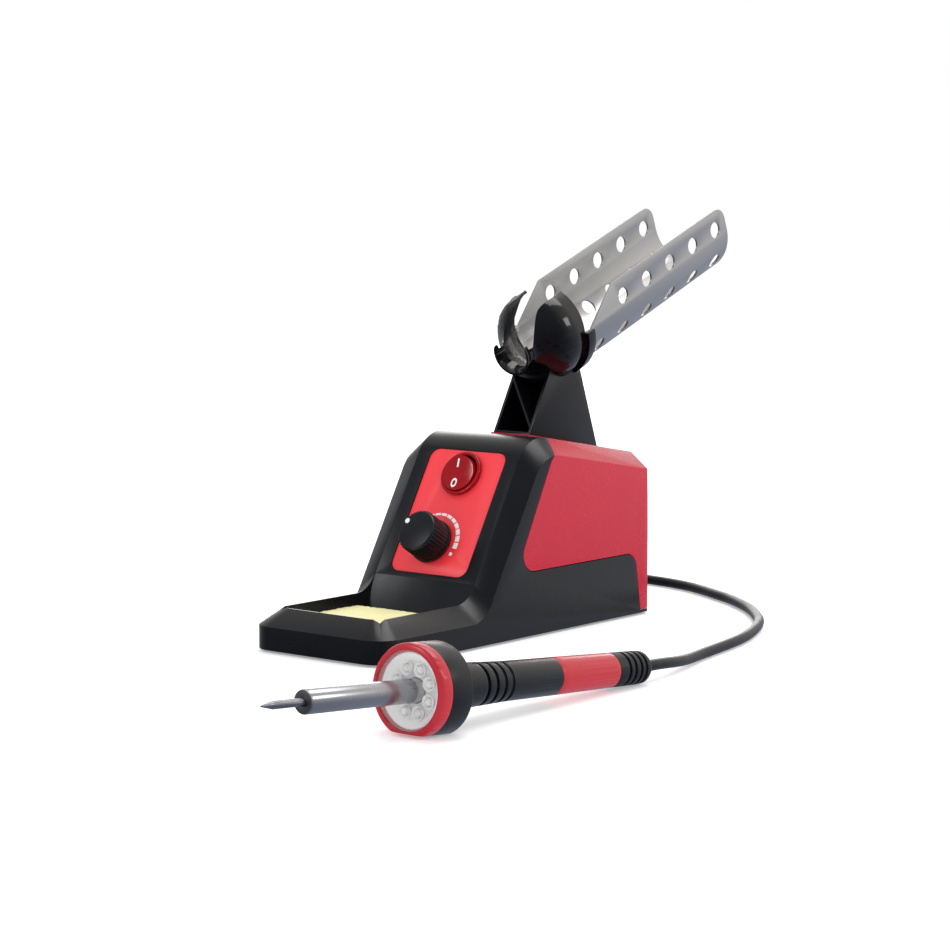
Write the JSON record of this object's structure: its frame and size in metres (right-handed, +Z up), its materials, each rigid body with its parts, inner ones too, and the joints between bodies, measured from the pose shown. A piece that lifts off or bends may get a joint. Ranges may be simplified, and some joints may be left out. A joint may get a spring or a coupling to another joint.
{
  "type": "soldering station",
  "caption": "Bench soldering station: sloped base with sponge tray, switch and dial, a perforated channel rest on a column, and a lighted iron on its cord.",
  "frame": {"origin": "on the bench, under the middle of the base, at the middle foot", "axes": "+X is the base's right side, +Y its back, +Z up; the sponge tray faces -Y"},
  "size_m": [0.2564, 0.4905, 0.2002],
  "materials": {
    "housing_black": "satin moulded, fine grain",
    "cover_red": "glossy moulded",
    "foot_rubber": "matt",
    "screw_steel": "zinc plated",
    "panel_red": "satin, light grain",
    "print_white": "printed",
    "switch_black": "glossy",
    "switch_red": "translucent, glossy",
    "terminal_brass": "plain",
    "knob_black": "satin",
    "control_metal": "plain",
    "board_green": "coated board",
    "part_black": "moulded",
    "sink_metal": "extruded",
    "part_blue": "shrink sleeve",
    "fuse_glass": "clear",
    "block_green": "moulded",
    "sponge_yellow": "open-cell cellulose",
    "cradle_black": "high gloss",
    "channel_steel": "rolled sheet",
    "gland_black": "satin",
    "cord_black": "satin",
    "tie_white": "plain",
    "tip_plated": "plated, tinned end",
    "barrel_steel": "polished tube",
    "collar_dark": "heat-stained",
    "heater_ceramic": "unglazed",
    "lens_clear": "clear",
    "reflector_silver": "metallised",
    "led_clear": "clear dome",
    "bezel_red": "glossy",
    "head_black": "satin",
    "grip_black": "satin, grooved",
    "handle_red": "satin gloss"
  },
  "bodies": {
    "station": {"front_housing": "housing_black", "rear_cover": "cover_red", "bottom_plate": "housing_black", "rubber_feet": "foot_rubber", "housing_screws": "screw_steel", "front_panel": "panel_red", "scale_marks": "print_white", "switch_bezel": "switch_red", "switch_body": "switch_black", "switch_terminals": "terminal_brass", "rocker_pin": "screw_steel", "control_body": "control_metal", "control_nut": "control_metal", "control_board": "board_green", "triac": "part_black", "heat_sink": "sink_metal", "capacitor": "part_blue", "fuse": "fuse_glass", "terminal_block": "block_green", "column": "housing_black", "column_screws": "screw_steel", "cradle": "cradle_black", "cradle_screw": "screw_steel", "channel": "channel_steel", "channel_rivets": "screw_steel", "mains_gland": "gland_black", "cord_gland": "gland_black", "iron_cord": "cord_black", "cord_coil": "cord_black", "cord_tail": "cord_black", "coil_tie": "tie_white"},
    "rocker": {"rocker_button": "switch_red"},
    "knob": {"knob": "knob_black", "knob_dot": "print_white", "control_shaft": "control_metal"},
    "sponge": {"sponge": "sponge_yellow"},
    "iron": {"tip": "tip_plated", "barrel": "barrel_steel", "barrel_collar": "collar_dark", "heater": "heater_ceramic", "lens": "lens_clear", "reflector": "reflector_silver", "leds": "led_clear", "led_board": "board_green", "bezel_ring": "bezel_red", "head_shell": "head_black", "grip_sleeve": "grip_black", "handle_core": "handle_red", "rear_bush": "gland_black"}
  },
  "joints": [
    {"name": "rocker_hinge", "type": "hinge", "parent": "station", "child": "rocker", "pos_m": [0, 0.00547, 0.07411], "axis": [1, 0, 0], "range_deg": [-14, 0]},
    {"name": "knob_turn", "type": "hinge", "parent": "station", "child": "knob", "pos_m": [-0.003, -0.01554, 0.04436], "axis": [0, -0.8616, 0.5075], "range_deg": [-190, 108]},
    {"name": "sponge_lift", "type": "slide", "parent": "station", "child": "sponge", "axis": [0, 0, 1], "range_m": [0, 0.04]},
    {"name": "iron_lift", "type": "slide", "parent": "station", "child": "iron", "axis": [0, 0, 1], "range_m": [0, 0.06]}
  ]
}
